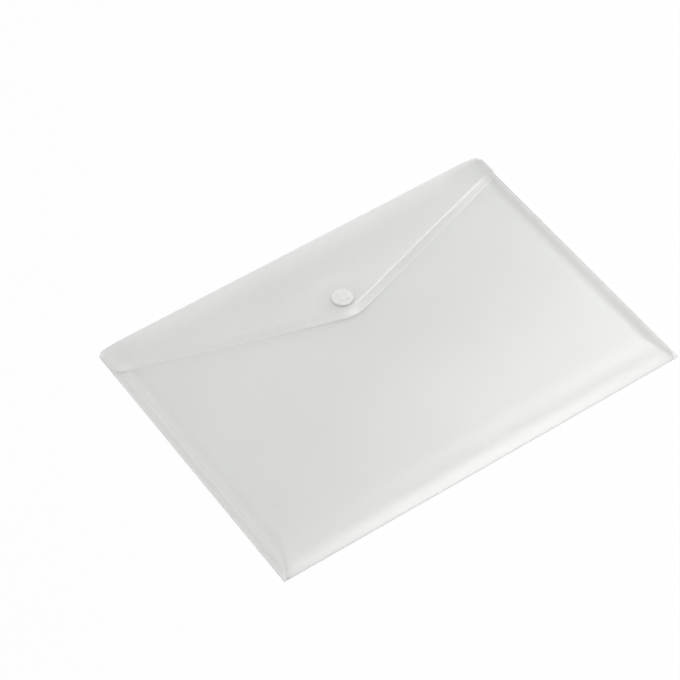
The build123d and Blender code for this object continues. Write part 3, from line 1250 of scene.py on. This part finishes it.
@dataclass
class PressStud:
    """Press stud: cap and socket riveted through the flap, ball half and backing on the front film."""

    sheet: Sheet
    finish: Material
    tilt: float
    stud_y: float = 55.85
    flange_radius: float = 7.5
    flange_round: float = 0.25
    post_radius: float = 1.5
    post_bore: float = 1.53
    cap_radius: float = 8.2
    cap_thickness: float = 1.8
    cap_foot: float = 0.15
    cap_round: float = 1.45
    bed: float = 0.12
    dish_radius: float = 5.2
    dish_depth: float = 0.3
    dish_wall: float = 0.5
    dish_round: float = 0.4
    pip: Span = (1.0, 0.8)
    pip_height: float = 0.1
    socket_flange: float = 0.7
    socket_radius: float = 5.5
    socket_height: float = 2.3
    hollow_radius: float = 3.75
    lip_radius: float = 3.42
    lip_height: float = 0.45
    lip_round: Span = (0.15, 0.3)
    web: float = 0.5
    web_lap: float = 0.02
    slots: int = 4
    slot_width: float = 0.6
    finger_steps: int = 14
    ball_flange: float = 0.8
    ball_profile: tuple[Span, ...] = ((3.1, 0.0), (3.1, 0.7), (3.45, 1.25), (2.6, 1.9), (0.0, 1.9))
    ball_round: Span = (0.25, 0.4)
    turns: int = 72

    def seat(self) -> Matrix:
        """Place the cap's seat: the stud's axis on the flap, square to its lean.

        Returns:
            Matrix from the stud's own frame, in metres, to the wallet's.
        """
        low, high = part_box("flap_stud_cap")
        middle = (low + high) / 2
        lean = Matrix.Rotation(-self.tilt, 4, "X")
        axis = lean @ Vector((0.0, 0.0, 1.0))
        crease = Vector((0.0, self.sheet.fold_line * MM, self.sheet.high_crease * MM))
        lift = (crease - middle).dot(axis)
        return Matrix.Translation(middle + axis * lift) @ lean

    def place(self, name: str, mesh: Mesh, matrix: Matrix, body: Body, node: str) -> Object:
        """Put a stud moulding where its CAD node is.

        Args:
            name: Name of the piece.
            mesh: Its mesh, about the stud's axis.
            matrix: Where it goes.
            body: Body that it moves with.
            node: CAD node that it stands for.

        Returns:
            The piece.
        """
        mesh.materials.append(self.finish)
        mesh.transform(matrix)
        mesh.update()
        piece = link_object(name, mesh)
        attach(piece, body.value)
        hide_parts(node)
        return piece

    def cap_mesh(self) -> Mesh:
        """Turn the cap: a puck with a rounded rim, a dished face and the post that rivets it.

        Returns:
            The mesh about the stud's axis.
        """
        top = self.sheet.film / 2 + self.cap_thickness
        base = self.sheet.film / 2 - self.bed
        post = -self.sheet.film / 2 - self.web
        dish = top - self.dish_depth
        profile = [
            (0.0, post),
            (self.post_radius, post),
            (self.post_radius, base),
            (self.cap_radius, base),
            (self.cap_radius, top),
            (self.dish_radius, top),
            (self.dish_radius - self.dish_wall, dish),
            (self.pip[0], dish),
            (self.pip[1], dish + self.pip_height),
            (0.0, dish + self.pip_height),
        ]
        corners = {3: self.cap_foot, 4: self.cap_round, 5: self.dish_round, 6: self.dish_round}
        return lathe_mesh("stud_cap", rounded(profile, corners), self.turns)

    def lip_tree(self) -> NodeTree:
        """Build the tree that sets one sprung finger of the socket round the stud's axis.

        Returns:
            The geometry tree.
        """
        s = ShapeSketch("Sprung lip", {"Fingers": float(self.slots)})
        points = s.add("GeometryNodePoints", {"Count": s.given["Fingers"]}).outputs[0]
        turn = s.math("DIVIDE", FULL_TURN, s.given["Fingers"])
        angle = s.math("MULTIPLY", s.add("GeometryNodeInputIndex").outputs[0], turn)
        spin = s.add("FunctionNodeAxisAngleToRotation", {"Axis": (0.0, 0.0, 1.0), "Angle": angle})
        inputs = {"Points": points, "Instance": s.given["Geometry"], "Rotation": spin.outputs[0]}
        return s.finish(s.add("GeometryNodeInstanceOnPoints", inputs).outputs[0])

    def socket_mesh(self) -> Mesh:
        """Turn the socket: a flange under the flap and a ring of sprung fingers that grip the ball.

        Returns:
            The mesh about the stud's axis.
        """
        seat = -self.sheet.film / 2
        web = seat - self.web
        flange = [
            (self.post_bore, web),
            (self.socket_radius, web),
            (self.socket_radius, seat - self.socket_flange),
            (self.flange_radius, seat - self.socket_flange),
            (self.flange_radius, seat),
            (self.post_bore, seat),
        ]
        disc = lathe_mesh("stud_socket", rounded(flange, {3: self.flange_round}), self.turns)
        end = seat - self.socket_height
        lip_top = end + self.lip_height
        finger = [
            (self.lip_radius, end),
            (self.socket_radius, end),
            (self.socket_radius, web + self.web_lap),
            (self.hollow_radius, web + self.web_lap),
            (self.hollow_radius, lip_top + self.hollow_radius - self.lip_radius),
            (self.lip_radius, lip_top),
        ]
        half_gap = math.asin(0.5 * self.slot_width / self.hollow_radius)
        reach = FULL_TURN / self.slots - half_gap
        fine = rounded(finger, dict(enumerate(self.lip_round)))
        one = lathe_mesh("finger", fine, self.finger_steps, half_gap, reach)
        values = {"Fingers": float(self.slots), "Material": self.finish}
        ring = run_tree("finger_draft", one, self.lip_tree(), values)
        return join_meshes("stud_socket", [disc, ring])

    def ball_mesh(self) -> Mesh:
        """Turn the ball half: a disc on the front film with the ball standing on it.

        Returns:
            The mesh about the stud's axis.
        """
        profile = [(0.0, 0.0), (self.flange_radius, 0.0), (self.flange_radius, self.ball_flange)]
        profile += [(r, self.ball_flange + h) for r, h in self.ball_profile]
        corners = {2: self.flange_round, 5: self.ball_round[0], 6: self.ball_round[1]}
        return lathe_mesh("stud_ball", rounded(profile, corners), self.turns)

    def build(self, nodes: dict[str, Object]) -> list[Object]:
        """Make the stud's mouldings and dress the hidden backing disc.

        Args:
            nodes: CAD nodes by name.

        Returns:
            The new pieces.
        """
        seat = self.seat()
        panel = Matrix.Translation(Vector((0.0, self.stud_y, self.sheet.front_top)) * MM)
        backing = nodes["panel_stud_backing"]
        backing.data.materials.clear()
        backing.data.materials.append(self.finish)
        return [
            self.place("stud_cap", self.cap_mesh(), seat, Body.FLAP, "flap_stud_cap"),
            self.place("stud_socket", self.socket_mesh(), seat, Body.FLAP, "flap_stud_socket"),
            self.place("stud_ball", self.ball_mesh(), panel, Body.POCKET, "panel_stud_ball"),
        ]


@dataclass(frozen=True)
class Softbox:
    """One soft lamp that faces the wallet or straight down, in metres and watts."""

    name: str
    place: Point
    size: Span
    power: float
    level: bool = False

    def build(self) -> None:
        """Hang the lamp in the scene."""
        lamp = bpy.data.lights.new(self.name, "AREA")
        lamp.shape = "RECTANGLE"
        lamp.size, lamp.size_y = self.size
        lamp.energy = self.power
        hang(self.name, lamp, self.place, None if self.level else (0.0, 0.0, 0.0))


@dataclass
class Studio:
    """Pale floor, soft overhead light and the camera."""

    floor_half: float = 3.0
    floor_gap: float = 0.0004
    floor_colour: Colour = (0.9, 0.9, 0.9)
    floor_glow: float = 0.93
    sky_stops: tuple[Span, ...] = (
        *((0.0, 0.3), (0.3, 0.14), (0.5, 0.2), (0.66, 0.26)),
        *((0.75, 1.18), (0.85, 1.33), (1.0, 1.74)),
    )
    sky_valley: float = 0.12
    sky_side: Span = (0.08, 0.3)
    sky_shade: float = 0.35
    sky_right: Span = (0.52, 0.66)
    sky_dim: float = 0.35
    sky_back: Span = (0.65, 0.82)
    sky_glow: float = 1.45
    sky_left: Span = (0.2, 0.6)
    sky_front: Span = (0.35, 0.9)
    sky_fill: float = 0.95
    lamps: tuple[Softbox, ...] = (
        Softbox("key_softbox", (0.39, -0.27, 0.92), (0.5, 0.34), 1.9, True),
        Softbox("sheen_softbox", (1.0, 0.53, 1.46), (0.52, 0.75), 2.8),
    )
    focal_pixels: float = 2635.2
    camera_place: Point = (-0.69887, -0.94514, 1.43913)
    camera_aim: Point = (-0.01915, 0.03146, 0.0)
    camera_reach: float = 50.0

    def floor(self) -> Object:
        """Lay the floor, white to the eye and still taking the wallet's shadow.

        Returns:
            The floor.
        """
        half, low = self.floor_half, -self.floor_gap
        mesh = bpy.data.meshes.new("floor")
        corners = [(-half, -half, low), (half, -half, low), (half, half, low), (-half, half, low)]
        mesh.from_pydata(corners, [], [(0, 1, 2, 3)])
        material = bpy.data.materials.new("pale_floor")
        material.use_nodes = True
        s = NodeSketch(material.node_tree)
        s.tree.nodes.clear()
        paint = s.add("ShaderNodeBsdfDiffuse", {"Color": (*self.floor_colour, 1.0)}).outputs[0]
        glow = s.add("ShaderNodeEmission").outputs[0]
        rays = s.add("ShaderNodeLightPath").outputs
        seen = s.math("MAXIMUM", rays["Is Camera Ray"], rays["Is Glossy Ray"])
        seen = s.math("MAXIMUM", seen, rays["Is Transmission Ray"])
        share = s.math("MULTIPLY", seen, self.floor_glow)
        blend = s.add("ShaderNodeMixShader", {0: share, 1: paint, 2: glow})
        s.add("ShaderNodeOutputMaterial", {"Surface": blend.outputs[0]})
        mesh.materials.append(material)
        floor = link_object("floor", mesh)
        return floor

    def sky(self) -> None:
        """Light the room softly from above, with the background white to the eye."""
        world = bpy.data.worlds.new("soft_room")
        world.use_nodes = True
        bpy.context.scene.world = world
        s = NodeSketch(world.node_tree)
        s.tree.nodes.clear()
        axes = s.add("ShaderNodeSeparateXYZ", {0: s.add("ShaderNodeTexCoord").outputs["Generated"]}).outputs
        x, y = axes["X"], axes["Y"]
        dome = s.add("ShaderNodeValToRGB", {0: axes["Z"]})
        dome.color_ramp.interpolation = "EASE"
        stops = dome.color_ramp.elements
        for place, _ in self.sky_stops[1:-1]:
            stops.new(place)
        for stop, (place, level) in zip(stops, self.sky_stops):
            stop.position = place
            stop.color = (level, level, level, 1.0)
        behind = s.ramp(y, *self.sky_back, 0.0, self.sky_glow)
        corner = s.math("MULTIPLY", s.math("MULTIPLY", x, -2.0), y)
        corners = s.ramp(corner, *self.sky_left, 0.0, self.sky_fill)
        front = s.ramp(s.math("SUBTRACT", x, y), *self.sky_front, 0.0, self.sky_fill)
        walls = s.math("MAXIMUM", behind, s.math("MAXIMUM", front, corners))
        aside = s.math("ABSOLUTE", s.math("SUBTRACT", x, self.sky_valley))
        valley = s.ramp(aside, *self.sky_side, self.sky_shade, 1.0)
        right = s.ramp(x, *self.sky_right, 1.0, self.sky_dim)
        inputs = {
            "Color": s.math("MAXIMUM", walls, dome.outputs[0]),
            "Strength": s.math("MULTIPLY", valley, right),
        }
        room = s.add("ShaderNodeBackground", inputs).outputs[0]
        white = s.add("ShaderNodeBackground", {"Color": (1.0, 1.0, 1.0, 1.0)}).outputs[0]
        seen = s.add("ShaderNodeLightPath").outputs["Is Camera Ray"]
        blend = s.add("ShaderNodeMixShader", {0: seen, 1: room, 2: white})
        s.add("ShaderNodeOutputWorld", {"Surface": blend.outputs[0]})

    def camera(self) -> None:
        """Set the camera at the photograph's viewing angle."""
        lens = bpy.data.cameras.new("camera")
        lens.sensor_width = SENSOR_MM
        lens.lens = self.focal_pixels / PHOTO_PIXELS * SENSOR_MM
        lens.clip_end = self.camera_reach
        bpy.context.scene.camera = hang("camera", lens, self.camera_place, self.camera_aim)

    def build(self) -> None:
        """Set up the floor, the light and the camera."""
        self.floor()
        self.sky()
        for lamp in self.lamps:
            lamp.build()
        self.camera()
        bpy.context.scene.view_settings.view_transform = "Standard"


def main() -> None:
    """Build the wallet's pieces in order, then the studio."""
    logging.basicConfig(level=logging.INFO, format="%(name)s: %(message)s")
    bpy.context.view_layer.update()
    sheet = Sheet()
    effects = SurfaceEffects()
    film = FilmFinish().build(effects)
    moulded = StudFinish().build(effects)
    flap = Flap(sheet, film)
    pieces = PocketFront(sheet, film).build()
    pieces.append(BackSheet(sheet, film).build())
    pieces.append(flap.build())
    pieces += PressStud(sheet, moulded, tilt=flap.lean()).build(frame["nodes"])
    for piece in pieces:
        log.info("%s: %d faces", piece.name, len(piece.data.polygons))
    Studio().build()


if __name__ == "__main__":
    main()
